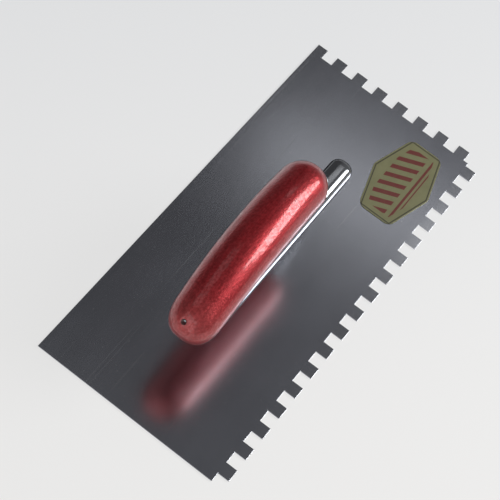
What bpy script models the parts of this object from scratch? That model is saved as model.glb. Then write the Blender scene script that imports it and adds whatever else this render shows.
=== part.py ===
"""Notched trowel: a sheet-steel blade toothed along one long edge and one short end, a half-round
rail riveted along its middle, a goose-neck shank that rises from the rail, and an arched, lacquered
wooden handle that the shank's tang runs through.

Metres, +Z up. +X runs along the blade towards its toothed short end, +Y towards its plain long
edge. The origin is on the underside of the blade, at the centre of its outline.
"""

import math

import bmesh
import bpy
from mathutils import Matrix, Vector

# ---------------------------------------------------------------- sizes (metres)
GAP = 0.0003  # clearance between pieces that seat on each other

BLADE_LENGTH = 0.280
BLADE_WIDTH = 0.130
BLADE_THICKNESS = 0.0008

NOTCH_PITCH = 0.016
NOTCH_WIDTH = 0.008
NOTCH_DEPTH = 0.0075
LONG_EDGE_START = 0.0059  # plain short end to the first tooth of the long edge
SHORT_END_START = 0.0071  # plain long edge to the first notch of the short end

RAIL_LENGTH = 0.1555
RAIL_WIDTH = 0.0155  # a half-round bar, so it stands half as high
RAIL_Y = 0.001

RIVET_COUNT = 6
RIVET_INSET = 0.0118  # rail's end to the first rivet's axis
RIVET_SHANK_RADIUS = 0.0020
RIVET_HEAD_RADIUS = 0.0032
RIVET_LENGTH = 0.0062  # from the blade's underside

HANDLE_LENGTH = 0.1278  # along its chord, end to end
HANDLE_FAR_X = 0.0203  # the round end, over the shank
HANDLE_FAR_Z = 0.0632  # height of the axis at the round end
HANDLE_NEAR_Z = 0.0528  # height of the axis at the blunt end
HANDLE_ARCH = 0.0083  # bow of the axis from its chord, at mid length
HANDLE_ROLL = math.radians(12)  # the bow leans this far from upright, towards +Y
HANDLE_NEAR_OFFSET = -0.0026  # blunt end off the rail's line
HANDLE_FAR_OFFSET = 0.0002  # round end off the rail's line
HANDLE_FAR_RADIUS = 0.0146
HANDLE_MIDDLE_RADIUS = 0.0155
HANDLE_NEAR_RADIUS = 0.0141
HANDLE_NEAR_ROUNDING = 0.0190
HANDLE_NEAR_BLUNTNESS = 2.8  # 2 is a round end, higher is flatter

SHANK_RADIUS = 0.0048
SHANK_FOOT_X = 0.0399
SHANK_RISE = 0.0320  # height at which it starts to lean back
SHANK_LEAN = 0.0007  # how far it has leant back by then
SHANK_REACH = 0.0135  # how far its bend stands out past the handle
SHANK_BEND_DROP = 0.0150  # bend below the handle's axis
SHANK_ENTRY_DROP = 0.0042  # entry below the handle's axis
SHANK_GRIP = 0.0140  # how far its full thickness goes into the handle
TANG_RADIUS = 0.0034
TANG_TIP_RADIUS = 0.0016
TANG_TIP_LENGTH = 0.0160
TANG_RECESS = 0.0026  # tip short of the handle's blunt end, where its rounding has begun
TANG_TIP_RISE = 0.0095  # tip above the handle's axis there

LABEL_THICKNESS = 0.0002
LABEL_LENGTH = 0.0620
LABEL_WIDTH = 0.0410
LABEL_END_INSET = 0.0490  # toothed short end to the label's middle
LABEL_EDGE_INSET = 0.0325  # toothed long edge to the label's middle
LABEL_END_SHARE = 0.56  # height of its short ends over its width
LABEL_ROUNDING = 0.0060

# ---------------------------------------------------------------- derived places
TOOTH_WIDTH = NOTCH_PITCH - NOTCH_WIDTH
HALF_LENGTH = BLADE_LENGTH / 2
HALF_WIDTH = BLADE_WIDTH / 2
RAIL_BASE_Z = BLADE_THICKNESS + GAP
RAIL_RADIUS = RAIL_WIDTH / 2
RAIL_TOP_Z = RAIL_BASE_Z + RAIL_RADIUS
HANDLE_NEAR_X = HANDLE_FAR_X - HANDLE_LENGTH
LABEL_X = HALF_LENGTH - LABEL_END_INSET
LABEL_Y = -HALF_WIDTH + LABEL_EDGE_INSET


# ---------------------------------------------------------------- scene
for old in list(bpy.data.objects):
    bpy.data.objects.remove(old, do_unlink=True)

trowel = bpy.data.collections.new("notched_trowel")
cutters = bpy.data.collections.new("cutters")
for collection in (trowel, cutters):
    bpy.context.scene.collection.children.link(collection)

root = bpy.data.objects.new("trowel_root", None)
root.empty_display_size = 0.02
trowel.objects.link(root)


def material(name, colour, metallic, roughness, coat=0.0):
    made = bpy.data.materials.new(name)
    made.use_nodes = True
    shader = made.node_tree.nodes["Principled BSDF"]
    shader.inputs["Base Color"].default_value = (*colour, 1.0)
    shader.inputs["Metallic"].default_value = metallic
    shader.inputs["Roughness"].default_value = roughness
    shader.inputs["Coat Weight"].default_value = coat
    made.diffuse_color = (*colour, 1.0)
    return made


STEEL_SHEET = material("blade_steel", (0.42, 0.43, 0.45), 1.0, 0.28)
POLISHED = material("polished_steel", (0.62, 0.63, 0.64), 1.0, 0.15)
RIVET_STEEL = material("rivet_steel", (0.50, 0.50, 0.51), 1.0, 0.32)
LACQUER = material("red_lacquered_wood", (0.42, 0.015, 0.022), 0.0, 0.25, 1.0)
LABEL = material("label_film", (0.20, 0.20, 0.095), 0.0, 0.45)


def place(mesh_or_curve, name, look, where=trowel):
    """Links one named piece, with its material, under the trowel's root."""
    made = bpy.data.objects.new(name, mesh_or_curve)
    made.data.name = name
    made.data.materials.clear()
    if look:
        made.data.materials.append(look)
    where.objects.link(made)
    made.parent = root
    return made


def as_cutter(made):
    made.hide_render = True
    made.display_type = "WIRE"
    return made


def smooth(made, degrees=35):
    made.data.shade_smooth()
    made.data.set_sharp_from_angle(angle=math.radians(degrees))


def cut(target, tool, operation="DIFFERENCE"):
    modifier = target.modifiers.new(tool.name, "BOOLEAN")
    modifier.operation = operation
    modifier.object = tool
    modifier.solver = "EXACT"


def curve_to_mesh(curve, name, look, where=trowel):
    """The curve's solid as a mesh, with its caps welded to its sides."""
    carrier = bpy.data.objects.new(name + "_curve", curve)
    bpy.context.scene.collection.objects.link(carrier)
    graph = bpy.context.evaluated_depsgraph_get()
    mesh = bpy.data.meshes.new_from_object(carrier.evaluated_get(graph))
    work = bmesh.new()
    work.from_mesh(mesh)
    bmesh.ops.remove_doubles(work, verts=work.verts, dist=1e-6)
    bmesh.ops.recalc_face_normals(work, faces=work.faces)
    work.to_mesh(mesh)
    work.free()
    bpy.data.objects.remove(carrier, do_unlink=True)
    return place(mesh, name, look, where)


def flat_outline(points, thickness, name, look, z=0.0):
    """A closed 2D outline, extruded upwards from z."""
    curve = bpy.data.curves.new(name, "CURVE")
    curve.dimensions = "2D"
    curve.fill_mode = "BOTH"
    curve.extrude = thickness / 2
    spline = curve.splines.new("POLY")
    spline.points.add(len(points) - 1)
    for point, (x, y) in zip(spline.points, points):
        point.co = (x, y, 0.0, 1.0)
    spline.use_cyclic_u = True
    made = curve_to_mesh(curve, name, look)
    made.data.transform(Matrix.Translation((0, 0, z + thickness / 2)))
    return made


def tube(path, name, look, sides=16, where=trowel):
    """A round bar along (x, z, radius) stations over the rail, or (x, z, radius, y) off its line."""
    curve = bpy.data.curves.new(name, "CURVE")
    curve.dimensions = "3D"
    curve.bevel_depth = 1.0
    curve.bevel_resolution = (sides - 4) // 2
    curve.use_fill_caps = True
    spline = curve.splines.new("POLY")
    spline.points.add(len(path) - 1)
    for point, (x, z, radius, *off) in zip(spline.points, path):
        point.co = (x, off[0] if off else RAIL_Y, z, 1.0)
        point.radius = radius
    return curve_to_mesh(curve, name, look, where)


def turned(profile, name, look, steps):
    """A profile in the XZ plane, from the axis down its outer side, turned about Z."""
    mesh = bpy.data.meshes.new(name)
    mesh.from_pydata(
        [(r, 0.0, z) for r, z in profile], [(i, i + 1) for i in range(len(profile) - 1)], []
    )
    made = place(mesh, name, look)
    add_screw(made, steps)
    return made


def add_screw(made, steps):
    screw = made.modifiers.new("turn", "SCREW")
    screw.steps = steps
    screw.render_steps = steps
    screw.use_merge_vertices = True
    screw.merge_threshold = 0.00001
    screw.use_smooth_shade = False


def cone_cutter(name, x, y, z_low, z_high, r_low, r_high, sides=24):
    work = bmesh.new()
    bmesh.ops.create_cone(
        work, cap_ends=True, segments=sides, radius1=r_low, radius2=r_high, depth=z_high - z_low
    )
    mesh = bpy.data.meshes.new(name)
    work.to_mesh(mesh)
    work.free()
    made = as_cutter(place(mesh, name, None, cutters))
    made.location = (x, y, (z_low + z_high) / 2)
    return made


# ---------------------------------------------------------------- blade
def block(work, low, high):
    """Adds one box, from its low corner to its high corner, to a bmesh."""
    low, high = Vector(low), Vector(high)
    size = high - low
    bmesh.ops.create_cube(
        work, size=1.0,
        matrix=Matrix.Translation((low + high) / 2) @ Matrix.Diagonal((*size, 1.0)),
    )


def blocks(spans, name, look, where):
    work = bmesh.new()
    for low, high in spans:
        block(work, low, high)
    mesh = bpy.data.meshes.new(name)
    work.to_mesh(mesh)
    work.free()
    return place(mesh, name, look, where)


def notch_spans(start, length, depth, over):
    """The gaps between the teeth of an edge, the last one open past the corner."""
    spans = []
    while start + NOTCH_WIDTH + TOOTH_WIDTH <= length - depth:
        spans.append((start, start + NOTCH_WIDTH))
        start += NOTCH_PITCH
    spans.append((start, length + over))
    return spans


OVER = 5 * BLADE_THICKNESS  # how far a cutter reaches past the sheet
blade = blocks(
    [((-HALF_LENGTH, -HALF_WIDTH, 0.0), (HALF_LENGTH, HALF_WIDTH, BLADE_THICKNESS))],
    "blade", STEEL_SHEET, trowel,
)
long_spans = [(-OVER, LONG_EDGE_START)] + notch_spans(
    LONG_EDGE_START + TOOTH_WIDTH, BLADE_LENGTH, NOTCH_DEPTH, OVER
)
cut(blade, as_cutter(blocks(
    [
        (
            (-HALF_LENGTH + s0, -HALF_WIDTH - OVER, -OVER),
            (-HALF_LENGTH + s1, -HALF_WIDTH + NOTCH_DEPTH, OVER),
        )
        for s0, s1 in long_spans
    ],
    "long_edge_notches", None, cutters,
)))
short_spans = notch_spans(SHORT_END_START, BLADE_WIDTH, NOTCH_DEPTH, OVER)
cut(blade, as_cutter(blocks(
    [
        (
            (HALF_LENGTH - NOTCH_DEPTH, HALF_WIDTH - s1, -OVER),
            (HALF_LENGTH + OVER, HALF_WIDTH - s0, OVER),
        )
        for s0, s1 in short_spans
    ],
    "short_end_notches", None, cutters,
)))

# ---------------------------------------------------------------- rail
# A capsule laid along X, then cut flat where it seats on the blade.
def capsule(radius, length, name, look, where=trowel, sides=24, rings=6):
    straight = length / 2 - radius
    path = []
    for i in range(rings + 1):
        angle = math.pi / 2 * i / rings
        path.append((-straight - radius * math.cos(angle), max(radius * math.sin(angle), 1e-5)))
    path += [(-x, r) for x, r in reversed(path)]
    return tube([(x, RAIL_BASE_Z, r) for x, r in path], name, look, sides, where)


rail = capsule(RAIL_RADIUS, RAIL_LENGTH, "rail", POLISHED, sides=32)
below_rail = as_cutter(blocks(
    [
        (
            (-RAIL_LENGTH, RAIL_Y - RAIL_WIDTH, RAIL_BASE_Z - RAIL_WIDTH),
            (RAIL_LENGTH, RAIL_Y + RAIL_WIDTH, RAIL_BASE_Z),
        )
    ],
    "below_rail", None, cutters,
))
cut(rail, below_rail)

# ---------------------------------------------------------------- rivets
# Countersunk in the blade's underside and let into the rail from below.
rivet_span = RAIL_LENGTH - 2 * RIVET_INSET
rivet_profile = [
    (0.0, RIVET_LENGTH),
    (RIVET_SHANK_RADIUS, RIVET_LENGTH),
    (RIVET_SHANK_RADIUS, BLADE_THICKNESS),
    (RIVET_HEAD_RADIUS, 0.0),
    (0.0, 0.0),
]
first_rivet = None
for i in range(RIVET_COUNT):
    x = -rivet_span / 2 + rivet_span * i / max(RIVET_COUNT - 1, 1)
    name = f"rivet_{i + 1}"
    if first_rivet is None:
        rivet = first_rivet = turned(rivet_profile, name, RIVET_STEEL, 16)
    else:
        rivet = bpy.data.objects.new(name, first_rivet.data)
        trowel.objects.link(rivet)
        rivet.parent = root
        add_screw(rivet, 16)
    rivet.location = (x, RAIL_Y, 0.0)
    slope = (RIVET_HEAD_RADIUS - RIVET_SHANK_RADIUS) / BLADE_THICKNESS
    countersink = cone_cutter(
        f"countersink_{i + 1}", x, RAIL_Y, -BLADE_THICKNESS, BLADE_THICKNESS * 2,
        RIVET_HEAD_RADIUS + GAP + slope * BLADE_THICKNESS,
        max(RIVET_HEAD_RADIUS + GAP - slope * BLADE_THICKNESS * 2, RIVET_SHANK_RADIUS * 0.2),
        16,
    )
    cut(blade, countersink)
    clear_hole = cone_cutter(
        f"rivet_hole_{i + 1}", x, RAIL_Y, -BLADE_THICKNESS * 2, RIVET_LENGTH + GAP,
        RIVET_SHANK_RADIUS + GAP, RIVET_SHANK_RADIUS + GAP, 16,
    )
    cut(rail, clear_hole)


# ---------------------------------------------------------------- handle
def handle_axis(x):
    """(y, z) of the handle's axis over x: a straight chord with a leaning bow over it."""
    share = min(max((x - HANDLE_NEAR_X) / HANDLE_LENGTH, 0.0), 1.0)
    bow = HANDLE_ARCH * 4 * share * (1 - share)
    offset = HANDLE_NEAR_OFFSET + (HANDLE_FAR_OFFSET - HANDLE_NEAR_OFFSET) * share
    chord = HANDLE_NEAR_Z + (HANDLE_FAR_Z - HANDLE_NEAR_Z) * share
    return RAIL_Y + offset + bow * math.sin(HANDLE_ROLL), chord + bow * math.cos(HANDLE_ROLL)


def handle_radius(x):
    """Bluntly rounded at the near end, a little fuller at mid length, a half ball at the far end."""
    share = (x - HANDLE_NEAR_X) / HANDLE_LENGTH
    ends = HANDLE_NEAR_RADIUS + (HANDLE_FAR_RADIUS - HANDLE_NEAR_RADIUS) * share
    middle = (HANDLE_NEAR_RADIUS + HANDLE_FAR_RADIUS) / 2
    body = ends + (HANDLE_MIDDLE_RADIUS - middle) * 4 * share * (1 - share)
    near, far = x - HANDLE_NEAR_X, HANDLE_FAR_X - x
    if near < HANDLE_NEAR_ROUNDING:
        inset = 1 - max(near / HANDLE_NEAR_ROUNDING, 0.002)
        body *= (1 - inset**HANDLE_NEAR_BLUNTNESS) ** (1 / HANDLE_NEAR_BLUNTNESS)
    if far < HANDLE_FAR_RADIUS:
        body *= math.sqrt(max(1 - (1 - far / HANDLE_FAR_RADIUS) ** 2, 1e-6))
    return body


def handle_stations():
    near_rings = [
        HANDLE_NEAR_X + HANDLE_NEAR_ROUNDING * (1 - math.cos(math.pi / 2 * i / 8)) for i in range(8)
    ]
    far_rings = [
        HANDLE_FAR_X - HANDLE_FAR_RADIUS * (1 - math.cos(math.pi / 2 * i / 8)) for i in range(8)
    ]
    start, stop = HANDLE_NEAR_X + HANDLE_NEAR_ROUNDING, HANDLE_FAR_X - HANDLE_FAR_RADIUS
    body_rings = [start + (stop - start) * i / 13 for i in range(14)]
    return near_rings + body_rings + far_rings[::-1]


handle_path = []
for x in handle_stations():
    y, z = handle_axis(x)
    handle_path.append((x, z, handle_radius(x), y))
handle = tube(handle_path, "handle", LACQUER, sides=28)


# ---------------------------------------------------------------- shank and tang
def bezier(a, b, c, d, t):
    s = 1 - t
    return tuple(
        s**3 * p + 3 * s * s * t * q + 3 * s * t * t * r + t**3 * w for p, q, r, w in zip(a, b, c, d)
    )


def shank_stations(clearance=0.0, overrun=0.0):
    """The goose neck from inside the rail up and back into the handle, then the straight tang."""
    grip_x = HANDLE_FAR_X - SHANK_GRIP
    foot = (SHANK_FOOT_X, RAIL_BASE_Z + RAIL_RADIUS * 0.35)
    rise = (SHANK_FOOT_X - SHANK_LEAN, RAIL_BASE_Z + SHANK_RISE)
    back = (HANDLE_FAR_X + SHANK_REACH, HANDLE_FAR_Z - SHANK_BEND_DROP)
    mouth = (grip_x + SHANK_RADIUS, HANDLE_FAR_Z - SHANK_ENTRY_DROP)
    mouth_z = mouth[1]
    tip_x = HANDLE_NEAR_X + TANG_RECESS - overrun
    tip_z = HANDLE_NEAR_Z + TANG_TIP_RISE
    path = [(*bezier(foot, rise, back, mouth, i / 14), SHANK_RADIUS + clearance) for i in range(15)]
    slope = (mouth_z - tip_z) / (mouth[0] - tip_x)

    def on_tang(x, radius):
        return (x, tip_z + slope * (x - tip_x), radius + clearance)

    path.append(on_tang(grip_x, SHANK_RADIUS))
    path.append(on_tang(grip_x - 0.003, TANG_RADIUS))
    neck_x = HANDLE_NEAR_X + TANG_TIP_LENGTH
    path.append(on_tang((grip_x + neck_x) / 2, TANG_RADIUS))
    path.append(on_tang(neck_x, TANG_RADIUS))
    path.append(on_tang(neck_x - 0.003, TANG_TIP_RADIUS))
    path.append(on_tang(tip_x, TANG_TIP_RADIUS))
    return path


shank = tube(shank_stations(), "shank", POLISHED, sides=16)
bore = as_cutter(tube(shank_stations(GAP, 0.01), "handle_bore", None, 16, cutters))
cut(handle, bore)
saddle = as_cutter(
    capsule(RAIL_RADIUS + GAP, RAIL_LENGTH + 2 * GAP, "shank_saddle", None, cutters, sides=32)
)
cut(shank, saddle)


# ---------------------------------------------------------------- label
def rounded(corners, radius, steps=5):
    """The polygon with each corner replaced by an arc that meets both sides."""
    points = []
    for i, corner in enumerate(corners):
        here = Vector(corner)
        to_last = (Vector(corners[i - 1]) - here).normalized()
        to_next = (Vector(corners[(i + 1) % len(corners)]) - here).normalized()
        half = to_last.angle(to_next) / 2
        reach = radius / math.tan(half)
        centre = here + (to_last + to_next).normalized() * (radius / math.sin(half))
        start, stop = here + to_last * reach - centre, here + to_next * reach - centre
        for k in range(steps + 1):
            arm = start.lerp(stop, k / steps)
            points.append(tuple(centre + arm.normalized() * radius))
    return points


def label_corners():
    """Six sides: two short ends, and long sides that spread to the middle."""
    half_length, half_width = LABEL_LENGTH / 2, LABEL_WIDTH / 2
    end = half_width * LABEL_END_SHARE
    corners = [
        (-half_length, -end), (0.0, -half_width), (half_length, -end),
        (half_length, end), (0.0, half_width), (-half_length, end),
    ]
    return [(LABEL_X + x, LABEL_Y + y) for x, y in corners]


label = flat_outline(
    rounded(label_corners(), LABEL_ROUNDING), LABEL_THICKNESS, "label", LABEL,
    z=BLADE_THICKNESS + GAP,
)

for piece in (rail, handle, shank):
    smooth(piece)
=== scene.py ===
# %% [markdown]
# # A notched trowel, dressed for its picture
#
# The trowel spreads tile adhesive: the plain edge lays it on, the toothed edges comb it into
# ridges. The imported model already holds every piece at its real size. This notebook gives each
# piece the roundness, edges and finish that the real one shows, and keeps every size as it is.

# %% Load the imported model
import math

import bmesh
import bpy
from mathutils import Matrix, Vector


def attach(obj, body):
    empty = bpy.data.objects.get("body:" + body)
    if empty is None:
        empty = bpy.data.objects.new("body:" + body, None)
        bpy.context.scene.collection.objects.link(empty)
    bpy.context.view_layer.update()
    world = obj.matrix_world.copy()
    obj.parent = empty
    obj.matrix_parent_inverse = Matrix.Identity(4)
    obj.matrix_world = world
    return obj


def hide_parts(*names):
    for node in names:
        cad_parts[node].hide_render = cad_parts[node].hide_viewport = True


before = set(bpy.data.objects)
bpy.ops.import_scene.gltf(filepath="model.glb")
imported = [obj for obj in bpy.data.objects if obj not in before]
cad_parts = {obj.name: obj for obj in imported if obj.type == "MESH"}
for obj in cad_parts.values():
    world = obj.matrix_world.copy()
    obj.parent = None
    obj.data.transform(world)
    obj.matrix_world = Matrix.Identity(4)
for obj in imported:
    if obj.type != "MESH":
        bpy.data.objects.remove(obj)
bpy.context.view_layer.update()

print("nodes:", sorted(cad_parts))

# %% [markdown]
# ## The camera first
#
# The camera is worked out from the blade's straight edges, whose real lengths are known: a
# long lens from above the toothed corner. Its matrix holds three directions (right, up and
# backwards) as columns. Setting it first lets every later piece be judged in its own picture.

# %% Camera
CAMERA_PLACE = Vector((-0.4473, -0.1198, 0.7976))
CAMERA_RIGHT = Vector((0.5800, -0.7926, 0.1880))
CAMERA_FORWARD = Vector((0.4756, 0.1421, -0.8681))
CAMERA_LENS, CAMERA_SENSOR = 111.8, 36.0  # in mm
CAMERA_NEAREST = 0.05

right = (CAMERA_RIGHT - CAMERA_FORWARD * CAMERA_RIGHT.dot(CAMERA_FORWARD)).normalized()
backward = -CAMERA_FORWARD.normalized()
upward = backward.cross(right)
camera_data = bpy.data.cameras.new("camera")
camera_data.lens = CAMERA_LENS
camera_data.sensor_width = CAMERA_SENSOR
camera_data.clip_start = CAMERA_NEAREST
camera = bpy.data.objects.new("camera", camera_data)
bpy.context.scene.collection.objects.link(camera)
aim = Matrix((right, upward, backward)).transposed().to_4x4()
camera.matrix_world = Matrix.Translation(CAMERA_PLACE) @ aim
bpy.context.scene.camera = camera
print("camera looks down by", round(math.degrees(math.asin(backward.z)), 1), "degrees")

# %% [markdown]
# ## Node trees as Python expressions
#
# A shader or a Geometry Nodes tree can be wired by hand, one link at a time, but the recipe is
# then hard to read. A small class that wraps one socket lets sums be written as sums: each
# operator adds the Math node that does it. Any other node comes from its one method, node().

# %% A class for sockets
class Signal:
    """One socket of a node tree. Arithmetic on it adds Math nodes to the same tree."""

    def __init__(self, tree, socket=None):
        self.tree, self.socket = tree, socket

    def node(self, kind, settings=None, sockets=None, out=0):
        """Adds any node: its settings first, then its sockets' values or links."""
        made = self.tree.nodes.new(kind)
        for key, value in (settings or {}).items():
            if key == "stops":
                ramp = made.color_ramp
                while len(ramp.elements) < len(value):
                    ramp.elements.new(0.5)
                for element, (where, shade) in zip(ramp.elements, value):
                    element.position, element.color = where, shade
            else:
                setattr(made, key, value)
        for key, value in (sockets or {}).items():
            for one in value if isinstance(value, list) else [value]:
                if isinstance(one, Signal):
                    self.tree.links.new(one.socket, made.inputs[key])
                else:
                    made.inputs[key].default_value = one
        return Signal(self.tree, made.outputs[out])

    def math(self, operation, *values, clamp=False):
        return self.node(
            "ShaderNodeMath", {"operation": operation, "use_clamp": clamp}, dict(enumerate(values))
        )

    def __add__(self, other):
        return self.math("ADD", self, other)

    __radd__ = __add__

    def __sub__(self, other):
        return self.math("SUBTRACT", self, other)

    def __rsub__(self, other):
        return self.math("SUBTRACT", other, self)

    def __mul__(self, other):
        return self.math("MULTIPLY", self, other)

    __rmul__ = __mul__

    def __truediv__(self, other):
        return self.math("DIVIDE", self, other)

    def __neg__(self):
        return self.math("MULTIPLY", self, -1.0)

    def __abs__(self):
        return self.math("ABSOLUTE", self)

    def __gt__(self, other):
        return self.math("GREATER_THAN", self, other)

    def __lt__(self, other):
        return self.math("LESS_THAN", self, other)


def fade(value, start, stop):
    """0 where the value is at start, 1 where it is at stop, and smooth between."""
    return value.node(
        "ShaderNodeMapRange", {"interpolation_type": "SMOOTHSTEP"},
        {"Value": value, "From Min": start, "From Max": stop},
    )


def split(vector):
    """The three parts of a vector, as signals."""
    parts = vector.node("ShaderNodeSeparateXYZ", {}, {0: vector}).socket.node.outputs
    return [Signal(vector.tree, part) for part in parts]


print("a socket can now be added, subtracted, multiplied, divided, compared and split")

# %% [markdown]
# ## Patterns that several finishes share
#
# Steel, lacquer and film all vary a little from place to place. Each pattern below reads the
# object's own coordinates in metres, so a scale of 100 repeats about every centimetre, and a
# stretch of (1, 20, 20) draws it out along the length of the tool.

# %% Shared patterns
def new_finish(name, **constants):
    """A material, its shader, and the Object coordinates that its patterns read."""
    made = bpy.data.materials.new(name)
    made.use_nodes = True
    shader = made.node_tree.nodes["Principled BSDF"]
    for socket, value in constants.items():
        shader.inputs[socket.replace("_", " ")].default_value = value
    where = Signal(made.node_tree).node("ShaderNodeTexCoord", out="Object")
    return made, shader, where


def stretched(where, stretch, turn=0.0):
    """The coordinates, turned about Z and then drawn out."""
    return where.node(
        "ShaderNodeMapping", {"vector_type": "POINT"},
        {"Vector": where, "Rotation": (0.0, 0.0, turn), "Scale": stretch},
    )


def noise(where, scale, detail=2.0, roughness=0.5):
    """A cloudy pattern from 0 to 1, with 0.5 as its usual value."""
    return where.node(
        "ShaderNodeTexNoise", {},
        {"Vector": where, "Scale": scale, "Detail": detail, "Roughness": roughness},
    )


def mixed(factor, first, second):
    """A colour between two colours. The Mix node's colour sockets are numbers 6 and 7."""
    return factor.node(
        "ShaderNodeMix", {"data_type": "RGBA"}, {0: factor, 6: first, 7: second}, out=2
    )


def bumped(height, distance, strength=1.0):
    """A normal that is tilted by the slopes of a height."""
    return height.node(
        "ShaderNodeBump", {}, {"Strength": strength, "Distance": distance, "Height": height}
    )


def wire(signal, shader, socket):
    """Links a signal to one input of a shader."""
    signal.tree.links.new(signal.socket, shader.inputs[socket])


print("patterns ready: stretched, noise, mixed, bumped, wire")

# %% [markdown]
# ## Blade steel
#
# Hardened sheet leaves the rolls with a fine lengthwise grain and a satin face that blurs what
# it mirrors. Storage adds soft cloudy patches, pin-point specks and a few long scratches, and
# use rubs the teeth a little brighter. A plain grey metal would look like plastic film.

# %% Blade steel
BLADE_LENGTH, BLADE_WIDTH, BLADE_THICKNESS = 0.280, 0.130, 0.0008

blade_steel, shader, where = new_finish("satin_sheet_steel", Metallic=1.0)
grain = noise(stretched(where, (1.0, 45.0, 1.0)), 60.0, 3.0)
clouds = noise(where, 14.0, 4.0, 0.55)
smears = noise(stretched(where, (1.0, 3.0, 1.0), 0.5), 22.0, 3.0)
long_scratch = fade(noise(stretched(where, (1.0, 60.0, 1.0), 0.35), 9.0, 1.0), 0.70, 0.735)
cross_scratch = fade(noise(stretched(where, (1.0, 70.0, 1.0), -0.9), 7.0, 1.0), 0.72, 0.75)
scratches = long_scratch.math("MAXIMUM", long_scratch, cross_scratch)
specks = fade(noise(where, 900.0, 0.0), 0.80, 0.84)
along, across, _ = split(where)
from_long_edge = across + BLADE_WIDTH / 2
from_short_end = BLADE_LENGTH / 2 - along
from_teeth = from_long_edge.math("MINIMUM", from_long_edge, from_short_end)
rubbed = 1.0 - fade(from_teeth, 0.001, 0.010)
patches = clouds * 0.6 + smears * 0.4
tone = mixed(patches, (0.330, 0.340, 0.370, 1.0), (0.490, 0.505, 0.555, 1.0))
tone = mixed(rubbed * 0.30, tone, (0.58, 0.59, 0.61, 1.0))
tone = mixed(specks * 0.5 + scratches * 0.12, tone, (0.80, 0.80, 0.81, 1.0))
wire(tone, shader, "Base Color")
wire(0.14 + patches * 0.07 + grain * 0.03 - rubbed * 0.02, shader, "Roughness")
wire(bumped(grain * 0.5 + clouds * 2.0 - scratches * 0.6, 0.00002, 0.6), shader, "Normal")
print("blade steel has", len(blade_steel.node_tree.nodes), "nodes")

# %% [markdown]
# ## Polished and ground steel
#
# The rail and the bent shank are bar that was polished along its length, so the lines run with
# the bar and the reflections stay almost sharp. The rivets were ground flush with the blade,
# which leaves rings of fine lines and a duller face.

# %% Polished steel and rivet steel
polished_steel, shader, where = new_finish("polished_bar_steel", Metallic=1.0)
lines = noise(stretched(where, (1.0, 30.0, 30.0)), 90.0, 3.0)
hazes = noise(where, 45.0, 4.0, 0.6)
nicks = fade(noise(where, 700.0, 0.0), 0.79, 0.83)
wire(mixed(hazes, (0.235, 0.245, 0.26, 1.0), (0.38, 0.39, 0.41, 1.0)), shader, "Base Color")
wire(0.09 + hazes * 0.08 + lines * 0.04 + nicks * 0.1, shader, "Roughness")
wire(bumped(lines * 0.6 + hazes - nicks, 0.00002, 0.5), shader, "Normal")

rivet_steel, shader, where = new_finish("ground_rivet_steel", Metallic=1.0)
grinding = noise(stretched(where, (35.0, 1.0, 1.0), 0.3), 70.0, 3.0)
stain = noise(where, 300.0, 3.0)
wire(mixed(stain, (0.42, 0.42, 0.43, 1.0), (0.62, 0.62, 0.63, 1.0)), shader, "Base Color")
wire(0.26 + grinding * 0.12, shader, "Roughness")
wire(bumped(grinding, 0.00002, 0.7), shader, "Normal")
print("steels:", polished_steel.name, rivet_steel.name)

# %% [markdown]
# ## Red lacquer over wood
#
# The handle is turned wood under a thick clear-coated red. The wood's pores still print through
# as long faint streaks, the lacquer is slightly mottled, and its surface has the ripple of
# sprayed gloss. A clear coat over a rougher coloured base gives both the sharp and the soft
# gleam. The blunt end, which is set down and knocked about, is a little rougher from wear, and
# its colour is mixed paler as a painted sheen of the light that its round catches.

# %% Red lacquer
HANDLE_LENGTH, HANDLE_FAR_X = 0.1278, 0.0203
HANDLE_NEAR_X = HANDLE_FAR_X - HANDLE_LENGTH
TANG_TIP = Vector((HANDLE_NEAR_X + 0.0031, 0.0011, 0.0658))
TIP_HOLE = 0.0018  # radius of the dimple round the tang's tip, which is coloured with painted shade
SHEEN_AND_WEAR_LENGTH = 0.028  # how far the wear and the painted sheen reach from the blunt end

red_lacquer, shader, where = new_finish(
    "red_lacquered_wood", Metallic=0.6, Coat_Roughness=0.13, IOR=1.5
)
pores = noise(stretched(where, (1.0, 22.0, 22.0)), 35.0, 4.0, 0.6)
mottle = noise(where, 750.0, 4.0, 0.65)
shades = noise(where, 30.0, 2.0)
ripple = noise(where, 260.0, 2.0)
along = split(where)[0]
# the blunt end: rougher from wear, and paler red as a painted sheen
wear_and_painted_sheen = 1.0 - fade(along, HANDLE_NEAR_X, HANDLE_NEAR_X + SHEEN_AND_WEAR_LENGTH)
flecks = fade(pores * 0.35 + mottle * 0.65, 0.34, 0.66)
red = mixed(flecks, (0.22, 0.007, 0.010, 1.0), (0.43, 0.020, 0.027, 1.0))
red = mixed(fade(shades, 0.35, 0.7) * 0.25, red, (0.20, 0.006, 0.008, 1.0))
# painted sheen: the blunt end's red is mixed towards a pale red
red = mixed(wear_and_painted_sheen * (0.12 + mottle * 0.25), red, (0.50, 0.13, 0.12, 1.0))
from_tip = where.node(
    "ShaderNodeVectorMath", {"operation": "DISTANCE"}, {0: where, 1: tuple(TANG_TIP)}, out="Value"
)
# painted shade: the dimple round the tang's tip is coloured a near-black red
dimple_painted_shade = 1.0 - fade(from_tip, TIP_HOLE * 0.9, TIP_HOLE * 1.15)
red = mixed(dimple_painted_shade, red, (0.060, 0.012, 0.012, 1.0))
wire(red, shader, "Base Color")
wire(0.27 + mottle * 0.14 + wear_and_painted_sheen * 0.10, shader, "Roughness")
sparkle = fade(mottle * 0.7 + ripple * 0.3, 0.38, 0.58)
wire(0.25 + sparkle * 0.75, shader, "Coat Weight")
wire(bumped(ripple * 0.4 + mottle + pores * 0.2, 0.00025, 1.0), shader, "Normal")
print("lacquer has", len(red_lacquer.node_tree.nodes), "nodes")

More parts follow.
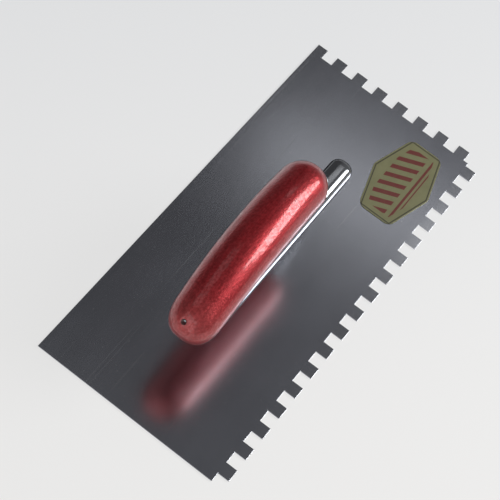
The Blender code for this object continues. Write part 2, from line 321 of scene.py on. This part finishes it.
# %% [markdown]
# ## The printed film of the label
#
# A khaki film with a thin dark rim sits on the blade. Its print here is a plain ornament of
# slanted bars over a rule, with no words. The rim follows the outline, so it is worked out
# from the distance to the six sides, with the film's middle as the origin.

# %% Label film
LABEL_END_INSET, LABEL_EDGE_INSET = 0.0490, 0.0325  # its middle from the toothed sides
LABEL_MIDDLE = Vector(
    (BLADE_LENGTH / 2 - LABEL_END_INSET, -BLADE_WIDTH / 2 + LABEL_EDGE_INSET, 0.0)
)
LABEL_LENGTH, LABEL_WIDTH, LABEL_END_SHARE, LABEL_ROUNDING = 0.0620, 0.0410, 0.56, 0.0060
half_long, half_wide = LABEL_LENGTH / 2, LABEL_WIDTH / 2
side_rise = half_wide * (1 - LABEL_END_SHARE)
side_length = math.hypot(half_long, side_rise)

label_film, shader, where = new_finish(
    "label_film", Metallic=0.0, Coat_Weight=0.3, Coat_Roughness=0.2
)
here = where.node(
    "ShaderNodeVectorMath", {"operation": "SUBTRACT"}, {0: where, 1: tuple(LABEL_MIDDLE)}
)
along, across, _ = split(here)
to_end = half_long - abs(along)
to_side = (half_wide * half_long - abs(along) * side_rise - abs(across) * half_long) / side_length
rim_distance = to_end.math("MINIMUM", to_end, to_side)
rim = (rim_distance > 0.0009) * (rim_distance < 0.0017)
inside = rim_distance > 0.0048
slant = (along + across * 0.45) / 0.0074
bars = (slant.math("PINGPONG", slant, 0.5) > 0.27) * (across > -0.0045) * (across < 0.0115)
rules = (abs(across + 0.0082) < 0.0008) + (abs(across + 0.0108) < 0.0004)
printed = (bars + rules).math("MINIMUM", bars + rules, 1.0) * inside
weave = noise(where, 380.0, 3.0)
fading = noise(where, 60.0, 3.0)
khaki = mixed(fading * 0.6 + weave * 0.4, (0.130, 0.132, 0.062, 1.0), (0.225, 0.218, 0.112, 1.0))
khaki = mixed(printed * (0.80 + weave * 0.2), khaki, (0.125, 0.010, 0.014, 1.0))
khaki = mixed(rim * 0.85, khaki, (0.030, 0.026, 0.016, 1.0))
wire(khaki, shader, "Base Color")
wire(0.34 + weave * 0.16, shader, "Roughness")
wire(bumped(weave * 0.6 + printed * 0.6, 0.00003, 0.5), shader, "Normal")
print("label film has", len(label_film.node_tree.nodes), "nodes")

# %% [markdown]
# ## Geometry Nodes from the script
#
# The blade follows a rule, a plate with teeth at one pitch, and the rivets are one shape six
# times over. Both suit Geometry Nodes: a tree with named inputs makes them, so another notch
# size needs one number. The helper sets each input by its socket's identifier, evaluates the
# object once, and keeps only the plain mesh, because the closing export needs real faces.

# %% A helper that runs a tree once
def grown(name, inputs, build, look):
    """A plain mesh object from a Geometry Nodes tree: build(sizes) returns its geometry."""
    tree = bpy.data.node_groups.new(name + "_tree", "GeometryNodeTree")
    tree.interface.new_socket("Geometry", in_out="OUTPUT", socket_type="NodeSocketGeometry")
    identifiers = {}
    for label, value in inputs.items():
        kind = "NodeSocketInt" if isinstance(value, int) else "NodeSocketFloat"
        socket = tree.interface.new_socket(label, in_out="INPUT", socket_type=kind)
        identifiers[label] = socket.identifier
    entry = tree.nodes.new("NodeGroupInput")
    sizes = {label: Signal(tree, entry.outputs[label]) for label in inputs}
    shape = build(sizes)
    real = shape.node("GeometryNodeRealizeInstances", {}, {"Geometry": shape})
    painted = real.node("GeometryNodeSetMaterial", {}, {"Geometry": real, "Material": look})
    tree.links.new(painted.socket, tree.nodes.new("NodeGroupOutput").inputs["Geometry"])
    carrier = bpy.data.objects.new(name + "_carrier", bpy.data.meshes.new(name + "_carrier"))
    bpy.context.scene.collection.objects.link(carrier)
    modifier = carrier.modifiers.new("grow", "NODES")
    modifier.node_group = tree
    for label, value in inputs.items():
        modifier[identifiers[label]] = value
    graph = bpy.context.evaluated_depsgraph_get()
    mesh = bpy.data.meshes.new_from_object(carrier.evaluated_get(graph))
    bpy.data.objects.remove(carrier, do_unlink=True)
    made = bpy.data.objects.new(name, mesh)
    bpy.context.scene.collection.objects.link(made)
    return made


def xyz(x, y, z):
    """Three values, of which at least one is a Signal, as one vector."""
    first = next(v for v in (x, y, z) if isinstance(v, Signal))
    return first.node("ShaderNodeCombineXYZ", {}, {0: x, 1: y, 2: z})


def slab(low, high):
    """A box between two corners, each given as three values."""
    size = xyz(*(b - a for a, b in zip(low, high)))
    middle = xyz(*((a + b) * 0.5 for a, b in zip(low, high)))
    cube = size.node("GeometryNodeMeshCube", {}, {"Size": size})
    return cube.node("GeometryNodeTransform", {}, {"Geometry": cube, "Translation": middle})


def row(count, start, step, shape):
    """A shape repeated along a line of points."""
    line = start.node(
        "GeometryNodeMeshLine", {"mode": "OFFSET"},
        {"Count": count, "Start Location": start, "Offset": step},
    )
    copies = line.node("GeometryNodeInstanceOnPoints", {}, {"Points": line, "Instance": shape})
    return copies.node("GeometryNodeRealizeInstances", {}, {"Geometry": copies})


def carved(body, *cutters):
    """A body with each cutter taken away from it in turn."""
    for cutter in cutters:
        body = body.node(
            "GeometryNodeMeshBoolean", {"operation": "DIFFERENCE", "solver": "EXACT"},
            {"Mesh 1": body, "Mesh 2": cutter},
        )
    return body


def bevelled(made, width, segments=2, degrees=40):
    """Rounds the sharp edges and applies the modifier."""
    bevel = made.modifiers.new("bevel", "BEVEL")
    bevel.width, bevel.segments, bevel.angle_limit = width, segments, math.radians(degrees)
    graph = bpy.context.evaluated_depsgraph_get()
    mesh = bpy.data.meshes.new_from_object(made.evaluated_get(graph))
    made.modifiers.clear()
    made.data = mesh
    return made


def set_down(made, name, slot, *nodes):
    """Names a finished piece, puts it on the tool's one body and hides the imported nodes it stands
    for.
    """
    made.name = made.data.name = name
    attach(made, "root")
    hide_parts(*nodes)
    print(name, "has", len(made.data.polygons), "faces")


print("helpers ready: grown, slab, row, carved, bevelled, set_down")

# %% [markdown]
# ## The toothed blade
#
# The real blade is stamped: a die knocks square notches out of one long edge and one short
# end. The tree does the same. It repeats one notch along each edge at the pitch, cuts them
# from a plate, and then cuts the corners and the countersinks for the rivets. A very small
# bevel afterwards stands for the rounding that stamping and grinding leave, so the edges catch
# light as thin lines.

# %% The toothed blade
NOTCH_PITCH, NOTCH_WIDTH, NOTCH_DEPTH = 0.016, 0.008, 0.0075
LONG_FIRST, LONG_COUNT = 0.0139, 16
SHORT_FIRST, SHORT_COUNT = 0.0071, 7
RAIL_Y, RIVET_COUNT, RIVET_SPAN = 0.001, 6, 0.1319
RIVET_HEAD_RADIUS, RIVET_SHANK_RADIUS, RIVET_LENGTH = 0.0032, 0.0020, 0.0062
RIVET_CLEARANCE, RIVET_SIDES, RIVET_STEM_SIDES = 0.0002, 48, 32
BLADE_EDGE_ROUNDING, RIVET_EDGE_ROUNDING = 0.00007, 0.00008


def build_blade(size):
    half_length, half_width = size["Length"] * 0.5, size["Width"] * 0.5
    depth, notch, pitch = size["Notch Depth"], size["Notch Width"], size["Notch Pitch"]
    over = size["Thickness"] * 4.0
    left, right, edge = -half_length, half_length, -half_width
    plate = slab((left, edge, 0.0), (right, half_width, size["Thickness"]))

    long_die = slab((notch * -0.5, -over, -over), (notch * 0.5, depth, over))
    long_start = xyz(left + size["Long First"] + notch * 0.5, edge, 0.0)
    long_row = row(size["Long Count"], long_start, xyz(pitch, 0.0, 0.0), long_die)

    short_die = slab((-depth, notch * -0.5, -over), (over, notch * 0.5, over))
    short_start = xyz(right, half_width - size["Short First"] - notch * 0.5, 0.0)
    short_row = row(size["Short Count"], short_start, xyz(0.0, -pitch, 0.0), short_die)

    tooth = pitch - notch
    plain_corner = slab(
        (left - over, edge - over, -over),
        (left + size["Long First"] - tooth, edge + depth, over),
    )
    long_end = left + size["Long First"] + pitch * size["Long Count"]
    short_end = half_width - size["Short First"] - pitch * size["Short Count"]
    corner_long = slab((long_end, edge - over, -over), (right + over, edge + depth, over))
    corner_short = slab((right - depth, edge - over, -over), (right + over, short_end, over))

    # a cone twice as deep as the sheet, so that it has the hole's radius at the underside
    thick, hole = size["Thickness"], size["Hole Radius"]
    sink = pitch.node(
        "GeometryNodeMeshCone", {"fill_type": "NGON"},
        {
            "Vertices": RIVET_SIDES, "Radius Top": hole - thick, "Radius Bottom": hole + thick,
            "Depth": thick * 2.0,
        },
    )
    sink = sink.node(
        "GeometryNodeTransform", {}, {"Geometry": sink, "Translation": xyz(0.0, 0.0, -thick)}
    )
    step = size["Rivet Span"] / (size["Rivet Count"] - 1.0)
    first_sink = xyz(size["Rivet Span"] * -0.5, size["Rail Y"], 0.0)
    sinks = row(size["Rivet Count"], first_sink, xyz(step, 0.0, 0.0), sink)
    return carved(plate, long_row, short_row, plain_corner, corner_long, corner_short, sinks)


blade = grown(
    "blade",
    {
        "Length": BLADE_LENGTH, "Width": BLADE_WIDTH, "Thickness": BLADE_THICKNESS,
        "Notch Pitch": NOTCH_PITCH, "Notch Width": NOTCH_WIDTH, "Notch Depth": NOTCH_DEPTH,
        "Long First": LONG_FIRST, "Long Count": LONG_COUNT,
        "Short First": SHORT_FIRST, "Short Count": SHORT_COUNT,
        "Rivet Span": RIVET_SPAN, "Rivet Count": RIVET_COUNT, "Rail Y": RAIL_Y,
        "Hole Radius": RIVET_HEAD_RADIUS + RIVET_CLEARANCE,
    },
    build_blade, blade_steel,
)
bevelled(blade, BLADE_EDGE_ROUNDING)
set_down(blade, "toothed_blade", "blade_steel", "blade")

# %% [markdown]
# ## The flush rivets
#
# Six countersunk rivets hold the rail. From above they are hidden, and from below each is a
# disc ground level with the blade, inside a hairline ring. The tree joins a cone and a stem
# once, and repeats that on a line of points. They stay one mesh, as all ride on one body.

# %% The flush rivets
def build_rivets(size):
    thick, head, stem = size["Sheet"], size["Head Radius"], size["Stem Radius"]
    cone = thick.node(
        "GeometryNodeMeshCone", {"fill_type": "NGON"},
        {"Vertices": RIVET_SIDES, "Radius Top": stem, "Radius Bottom": head, "Depth": thick},
    )
    bar = thick.node(
        "GeometryNodeMeshCylinder", {"fill_type": "NGON"},
        {
            "Vertices": RIVET_STEM_SIDES, "Radius": stem * 0.98,
            "Depth": size["Length"] - thick * 0.5,
        },
    )
    bar = bar.node(
        "GeometryNodeTransform", {},
        {"Geometry": bar, "Translation": xyz(0.0, 0.0, (size["Length"] + thick * 0.5) * 0.5)},
    )
    rivet = cone.node(
        "GeometryNodeMeshBoolean", {"operation": "UNION", "solver": "EXACT"},
        {"Mesh 2": [cone, bar]},
    )
    step = size["Span"] / (size["Count"] - 1.0)
    first_rivet = xyz(size["Span"] * -0.5, size["Rail Y"], 0.0)
    return row(size["Count"], first_rivet, xyz(step, 0.0, 0.0), rivet)


rivets = grown(
    "rivets",
    {
        "Sheet": BLADE_THICKNESS, "Head Radius": RIVET_HEAD_RADIUS,
        "Stem Radius": RIVET_SHANK_RADIUS, "Length": RIVET_LENGTH,
        "Span": RIVET_SPAN, "Count": RIVET_COUNT, "Rail Y": RAIL_Y,
    },
    build_rivets, rivet_steel,
)
bevelled(rivets, RIVET_EDGE_ROUNDING)
rivet_nodes = [f"rivet_{i + 1}" for i in range(RIVET_COUNT)]
set_down(rivets, "flush_rivets", "rivet_steel", *rivet_nodes)

# %% [markdown]
# ## Lofting a bar
#
# Rail, shank and handle are all bars whose section changes a little along their length. A
# curve with a bevel would do, but its caps are flat and its rings follow the curve's own
# rules. A loft joins rings of points that are worked out one by one, and closes each end on a
# single point, so no seam or pole stays open.

# %% A loft from rings of points
def loft(rings, first_tip, last_tip, look, sharp=180):
    """A closed skin over rings that all have the same number of points."""
    work = bmesh.new()
    rows = [[work.verts.new(p) for p in ring] for ring in rings]
    count = len(rows[0])
    for a, b in zip(rows, rows[1:]):
        for i in range(count):
            work.faces.new((a[i], a[(i + 1) % count], b[(i + 1) % count], b[i]))
    for tip, ring in ((first_tip, rows[0]), (last_tip, rows[-1])):
        point = work.verts.new(tip)
        for i in range(count):
            work.faces.new((point, ring[i], ring[(i + 1) % count]))
    bmesh.ops.recalc_face_normals(work, faces=work.faces)
    mesh = bpy.data.meshes.new("loft")
    work.to_mesh(mesh)
    work.free()
    mesh.materials.append(look)
    mesh.shade_smooth()
    if sharp < 180:
        mesh.set_sharp_from_angle(angle=math.radians(sharp))
    made = bpy.data.objects.new("loft", mesh)
    bpy.context.scene.collection.objects.link(made)
    return made


def circle(centre, along, radius, sides):
    """A ring of points square to a direction that has no big sideways part."""
    side = Vector((0.0, 1.0, 0.0))
    side = (side - along * side.dot(along)).normalized()
    up = side.cross(along)
    turns = [2 * math.pi * i / sides for i in range(sides)]
    return [centre + (side * math.cos(t) + up * math.sin(t)) * radius for t in turns]


def directions(points):
    """The direction of travel at each point of a path."""
    before, after = [points[0]] + points[:-1], points[1:] + [points[-1]]
    return [(b - a).normalized() for a, b in zip(before, after)]


print("helpers ready: loft, circle, directions")

# %% [markdown]
# ## The half-round rail
#
# A bar of half-round section stiffens the thin blade and carries the shank. Its ends are
# rounded off like the end of a spoon. Each ring is a half circle with a short upright foot,
# so that the rail meets the blade in a crisp line with no gap under it.

# %% The half-round rail
RAIL_LENGTH, RAIL_RADIUS, RAIL_BASE_Z = 0.1555, 0.00775, 0.0011
RAIL_SQUARENESS = 2.7  # 2 is a half circle, more has a flatter top and steeper flanks
RAIL_FOOT_Z = BLADE_THICKNESS + 0.00002
RAIL_SIDES, RAIL_END_RINGS, RAIL_MIDDLE_RINGS = 56, 20, 12


def rail_ring(x, radius):
    """One section of the rail, from one foot over the top to the other."""
    points = []
    for i in range(RAIL_SIDES + 1):
        turn = math.pi * i / RAIL_SIDES
        out, up = math.cos(turn), math.sin(turn)
        reach = (abs(out) ** RAIL_SQUARENESS + abs(up) ** RAIL_SQUARENESS) ** (-1 / RAIL_SQUARENESS)
        points.append(Vector((x, RAIL_Y + radius * out * reach, RAIL_BASE_Z + radius * up * reach)))
    feet = [Vector((x, RAIL_Y + side * radius, RAIL_FOOT_Z)) for side in (1, -1)]
    return feet[:1] + points + feet[1:]


straight = RAIL_LENGTH / 2 - RAIL_RADIUS
end_stations = [
    (-straight - RAIL_RADIUS * math.cos(t), RAIL_RADIUS * math.sin(t))
    for t in (math.pi / 2 * (i + 1) / RAIL_END_RINGS for i in range(RAIL_END_RINGS))
]
middle_stations = [
    (-straight + 2 * straight * i / RAIL_MIDDLE_RINGS, RAIL_RADIUS)
    for i in range(1, RAIL_MIDDLE_RINGS)
]
stations = end_stations + middle_stations + [(-x, r) for x, r in reversed(end_stations)]
rail_tips = [(side * RAIL_LENGTH / 2, RAIL_Y, RAIL_BASE_Z) for side in (-1, 1)]
rail = loft([rail_ring(x, r) for x, r in stations], *rail_tips, polished_steel, 35)
set_down(rail, "half_round_rail", "polished_steel", "rail")

# %% [markdown]
# ## The bent shank and its tang
#
# The shank rises from the rail beyond the handle's end, leans out and bends back into it like
# a goose's neck, and its thin tang runs the whole length of the wood. Four control points give
# the neck one smooth Bezier curve. Near the rail the bar swells into its weld, and the tang's
# peened tip shows at the handle's blunt end.

# %% The bent shank
SHANK_RADIUS, TANG_RADIUS, TANG_TIP_RADIUS = 0.0048, 0.0034, 0.0012
HANDLE_FAR_Z, HANDLE_NEAR_Z = 0.0632, 0.0528
SHANK_FOOT_X, SHANK_RISE, SHANK_LEAN = 0.0399, 0.0320, 0.0007
SHANK_REACH, SHANK_BEND_DROP, SHANK_ENTRY_DROP = 0.0135, 0.0150, 0.0042
GRIP_X = HANDLE_FAR_X - 0.0140  # the thick bar ends here, inside the wood
NECK = [
    Vector((SHANK_FOOT_X, RAIL_Y, RAIL_BASE_Z + RAIL_RADIUS * 0.35)),
    Vector((SHANK_FOOT_X - SHANK_LEAN, RAIL_Y, RAIL_BASE_Z + SHANK_RISE)),
    Vector((HANDLE_FAR_X + SHANK_REACH, RAIL_Y, HANDLE_FAR_Z - SHANK_BEND_DROP)),
    Vector((GRIP_X + SHANK_RADIUS, RAIL_Y, HANDLE_FAR_Z - SHANK_ENTRY_DROP)),
]
NECK_STEPS, SHANK_SIDES = 60, 48
RAIL_TOP_Z = RAIL_BASE_Z + RAIL_RADIUS
WELD_SWELL, WELD_HEIGHT, WELD_SINK = 0.0013, 0.0022, 0.0012
TANG_STEP, TANG_MIDDLE_X, TANG_TIP_LENGTH = 0.003, -0.045, 0.016
TIP_DOME = 0.0008


def on_neck(t):
    """The point at t, from 0 to 1, on the neck's Bezier curve."""
    s = 1 - t
    a, b, c, d = NECK
    return a * s**3 + b * (3 * s * s * t) + c * (3 * s * t * t) + d * t**3


shank_path = []
for i in range(NECK_STEPS + 1):
    spot = on_neck(i / NECK_STEPS)
    over_rail = max(spot.z - RAIL_TOP_Z + WELD_SINK, 0.0) / WELD_HEIGHT
    shank_path.append((spot, SHANK_RADIUS + WELD_SWELL * math.exp(-over_rail * over_rail * 1.5)))
tang_slope = (NECK[3].z - TANG_TIP.z) / (NECK[3].x - TANG_TIP.x)
tang_stations = [
    (GRIP_X, SHANK_RADIUS), (GRIP_X - TANG_STEP, TANG_RADIUS), (TANG_MIDDLE_X, TANG_RADIUS),
    (HANDLE_NEAR_X + TANG_TIP_LENGTH, TANG_RADIUS),
    (HANDLE_NEAR_X + TANG_TIP_LENGTH - TANG_STEP, TANG_TIP_RADIUS),
    (TANG_TIP.x + TIP_DOME, TANG_TIP_RADIUS), (TANG_TIP.x + TIP_DOME / 4, TANG_TIP_RADIUS * 0.80),
]
for x, radius in tang_stations:
    spot = Vector((x, RAIL_Y, TANG_TIP.z + tang_slope * (x - TANG_TIP.x)))
    shank_path.append((spot, radius))
travel = directions([spot for spot, radius in shank_path])
shank = loft(
    [circle(spot, way, radius, SHANK_SIDES) for (spot, radius), way in zip(shank_path, travel)],
    NECK[0], TANG_TIP, polished_steel, 60,
)
set_down(shank, "goose_neck_shank", "polished_steel", "shank")

# %% [markdown]
# ## The arched handle
#
# The handle is a plump wooden bar, bowed upwards to fill the palm and leaning a little to one
# side. One end is a half ball, the other a blunt round. The axis is a straight chord with a
# parabola over it, and a ring of points stands on it every millimetre or two, closer together
# where the ends curve in. A small dimple takes the tang's tip.

# %% The arched handle
HANDLE_ARCH, HANDLE_ROLL = 0.0083, math.radians(12)
NEAR_OFFSET, FAR_OFFSET = -0.0026, 0.0002
FAR_RADIUS, MIDDLE_RADIUS, NEAR_RADIUS = 0.0146, 0.0155, 0.0141
NEAR_ROUNDING, NEAR_BLUNTNESS = 0.0190, 2.8  # a bluntness of 2 would be a round end
TIP_HOLE_DEPTH = 0.0011
HANDLE_SIDES, END_RINGS, BODY_RINGS = 120, 36, 60


def handle_axis(x):
    """The point of the bowed and leaning axis at x."""
    share = min(max((x - HANDLE_NEAR_X) / HANDLE_LENGTH, 0.0), 1.0)
    bow = HANDLE_ARCH * 4 * share * (1 - share)
    offset = NEAR_OFFSET + (FAR_OFFSET - NEAR_OFFSET) * share
    chord = HANDLE_NEAR_Z + (HANDLE_FAR_Z - HANDLE_NEAR_Z) * share
    sideways, upward = bow * math.sin(HANDLE_ROLL), bow * math.cos(HANDLE_ROLL)
    return Vector((x, RAIL_Y + offset + sideways, chord + upward))


def handle_radius(x):
    """Bluntly rounded at the near end, fuller at mid length, a half ball at the far end."""
    share = (x - HANDLE_NEAR_X) / HANDLE_LENGTH
    ends = NEAR_RADIUS + (FAR_RADIUS - NEAR_RADIUS) * share
    body = ends + (MIDDLE_RADIUS - (NEAR_RADIUS + FAR_RADIUS) / 2) * 4 * share * (1 - share)
    near, far = x - HANDLE_NEAR_X, HANDLE_FAR_X - x
    if near < NEAR_ROUNDING:
        body *= (1 - (1 - near / NEAR_ROUNDING) ** NEAR_BLUNTNESS) ** (1 / NEAR_BLUNTNESS)
    if far < FAR_RADIUS:
        body *= math.sqrt(1 - (1 - far / FAR_RADIUS) ** 2)
    return body


# the blunt end is nearly flat, so its rings are crowded twice over close to the tip
bends = [1 - math.cos(math.pi / 2 * i / END_RINGS) for i in range(1, END_RINGS)]
near_x = [HANDLE_NEAR_X + NEAR_ROUNDING * b * b for b in bends if b < 0.2]
near_x += [HANDLE_NEAR_X + NEAR_ROUNDING * b for b in bends if b > 0.045]
near_x.sort()
far_x = [HANDLE_FAR_X - FAR_RADIUS * b for b in reversed(bends)]
body_from, body_to = HANDLE_NEAR_X + NEAR_ROUNDING, HANDLE_FAR_X - FAR_RADIUS
body_x = [body_from + (body_to - body_from) * i / BODY_RINGS for i in range(BODY_RINGS + 1)]
handle_x = near_x + body_x + far_x
handle_path = [handle_axis(x) for x in handle_x]
travel = directions(handle_path)
handle_rings = [
    circle(spot, way, handle_radius(x), HANDLE_SIDES)
    for x, spot, way in zip(handle_x, handle_path, travel)
]
handle = loft(
    handle_rings, handle_axis(HANDLE_NEAR_X), handle_axis(HANDLE_FAR_X), red_lacquer
)
inward = (handle_axis(HANDLE_NEAR_X + NEAR_ROUNDING) - TANG_TIP).normalized()
for corner in handle.data.vertices:
    reach = (corner.co - TANG_TIP).length / TIP_HOLE
    if reach < 1.0:  # the dimple's wall takes the outer third of its radius
        corner.co += inward * TIP_HOLE_DEPTH * min(1.0, (1.0 - reach) * 3.0)
set_down(handle, "lacquered_handle", "red_lacquered_wood", "handle")

# %% [markdown]
# ## The label
#
# The film is only a fraction of a millimetre thick, so its shape is an outline given a
# thickness. The six corners are rounded with arcs, the top's rim is bevelled as a die-cut edge
# is, and the print comes from the finish above.

# %% The label
def rounded(corners, radius, steps=10):
    """The outline with each corner replaced by an arc that meets both sides."""
    points = []
    for i, here in enumerate(corners):
        to_last = (corners[i - 1] - here).normalized()
        to_next = (corners[(i + 1) % len(corners)] - here).normalized()
        half = to_last.angle(to_next) / 2
        centre = here + (to_last + to_next).normalized() * (radius / math.sin(half))
        cut = radius / math.tan(half)
        start, stop = (here + way * cut - centre for way in (to_last, to_next))
        arms = [start.lerp(stop, k / steps).normalized() for k in range(steps + 1)]
        points += [centre + arm * radius for arm in arms]
    return points


end_rise = half_wide * LABEL_END_SHARE
label_corners = [
    LABEL_MIDDLE + Vector(c + (0.0,))
    for c in (
        (-half_long, -end_rise), (0.0, -half_wide), (half_long, -end_rise),
        (half_long, end_rise), (0.0, half_wide), (-half_long, end_rise),
    )
]
outline = rounded(label_corners, LABEL_ROUNDING)
LABEL_FOOT, LABEL_TOP = BLADE_THICKNESS + 0.00003, 0.00125
LABEL_EDGE_ROUNDING = 0.00015
work = bmesh.new()
low = [work.verts.new((p.x, p.y, LABEL_FOOT)) for p in outline]
high = [work.verts.new((p.x, p.y, LABEL_TOP)) for p in outline]
work.faces.new(low)
work.faces.new(high)
for i in range(len(low)):
    j = (i + 1) % len(low)
    work.faces.new((low[i], low[j], high[j], high[i]))
bmesh.ops.recalc_face_normals(work, faces=work.faces)
label_mesh = bpy.data.meshes.new("label")
work.to_mesh(label_mesh)
work.free()
label_mesh.materials.append(label_film)
label = bpy.data.objects.new("label", label_mesh)
bpy.context.scene.collection.objects.link(label)
bevelled(label, LABEL_EDGE_ROUNDING, degrees=60)
set_down(label, "label_film", "label_film", "label")

# %% [markdown]
# ## Floor and studio
#
# The trowel lies on a pale sweep under soft lamps. The floor takes part of its paleness from
# an emission that only the camera and mirror-like rays see, so the shadow stays but is faint.
# Steel shows what is round it more than its own colour: a darker ceiling, a paler horizon and
# four soft boxes give the blade its gradient and the handle its long gleam.

# %% Floor and studio
FLOOR_SIZE, FLOOR_Z, FLOOR_GLOW = 6.0, -0.0003, 0.8
floor_finish, shader, where = new_finish("pale_floor", Roughness=0.9)
floor_tree = floor_finish.node_tree
along, across, _ = split(where)
# painted light: the floor is coloured paler and warmer towards -X and -Y, darker and cooler towards
# +X and +Y
run = fade(along * 0.75 + across * 0.67, -0.25, 0.40)
pale = mixed(run, (0.87, 0.865, 0.855, 1.0), (0.755, 0.765, 0.78, 1.0))
wire(pale, shader, "Base Color")
glow = pale.node("ShaderNodeEmission", {}, {"Color": pale, "Strength": 1.0}, out="Emission")
rays = pale.node("ShaderNodeLightPath").socket.node.outputs
direct, glossy, through = (
    Signal(floor_tree, rays[kind])
    for kind in ("Is Camera Ray", "Is Glossy Ray", "Is Transmission Ray")
)
seen = direct.math("MAXIMUM", direct.math("MAXIMUM", direct, glossy), through)
plain = Signal(floor_tree, shader.outputs["BSDF"])
surface = seen.node("ShaderNodeMixShader", {}, {0: seen * FLOOR_GLOW, 1: plain, 2: glow})
floor_tree.links.new(surface.socket, floor_tree.nodes["Material Output"].inputs["Surface"])
floor_mesh = bpy.data.meshes.new("floor")
half = FLOOR_SIZE / 2
floor_corners = [(-half, -half), (half, -half), (half, half), (-half, half)]
floor_mesh.from_pydata([(x, y, FLOOR_Z) for x, y in floor_corners], [], [(0, 1, 2, 3)])
floor_mesh.materials.append(floor_finish)
floor = bpy.data.objects.new("floor", floor_mesh)
bpy.context.scene.collection.objects.link(floor)

SIDE_DIMMING, SIDE_PALING = 0.5, 0.9  # of the world, towards +Y and towards -X
world = bpy.data.worlds.new("studio")
world.use_nodes = True
bpy.context.scene.world = world
sky = Signal(world.node_tree).node("ShaderNodeTexCoord", out="Generated")
sky_x, sky_y, height = split(sky)
ceiling = height.node(
    "ShaderNodeValToRGB",
    {"stops": [
        (0.0, (0.22, 0.22, 0.22, 1.0)), (0.78, (0.20, 0.20, 0.208, 1.0)),
        (0.87, (0.145, 0.145, 0.152, 1.0)), (1.0, (0.15, 0.15, 0.155, 1.0)),
    ]},
    {"Fac": height}, out="Color",
)
dim_side = fade(sky_y, 0.07, 0.24)
pale_side = fade(sky_x, -0.25, -0.85)
backdrop = world.node_tree.nodes["Background"]
wire(ceiling, backdrop, "Color")
wire(1.0 - dim_side * SIDE_DIMMING + pale_side * SIDE_PALING, backdrop, "Strength")

BOX_TARGET = Vector((-0.03, 0.0, 0.05))
# direction from the target, distance, width, height and watts of each soft box
SOFT_BOXES = {
    "key_box": ((0.49, -0.64, 0.56), 1.1, 0.58, 0.54, 10.5),
    "fill_box": ((-0.85, 0.10, 0.50), 1.4, 1.80, 1.40, 7.0),
    "top_box": ((-0.02, 0.40, 0.91), 1.3, 0.60, 0.60, 0.6),
    "band_box": ((0.603, 0.09, 0.792), 1.4, 0.36, 0.08, 0.10),
}
for name, (way, distance, width, tall, watts) in SOFT_BOXES.items():
    lamp = bpy.data.lights.new(name, "AREA")
    lamp.shape, lamp.size, lamp.size_y, lamp.energy = "RECTANGLE", width, tall, watts
    box = bpy.data.objects.new(name, lamp)
    bpy.context.scene.collection.objects.link(box)
    way = Vector(way).normalized()
    box.location = way * distance + BOX_TARGET
    box.rotation_euler = (-way).to_track_quat("-Z", "Y").to_euler()
bpy.context.scene.view_settings.view_transform = "Standard"
print("studio ready with", len(SOFT_BOXES), "soft boxes")
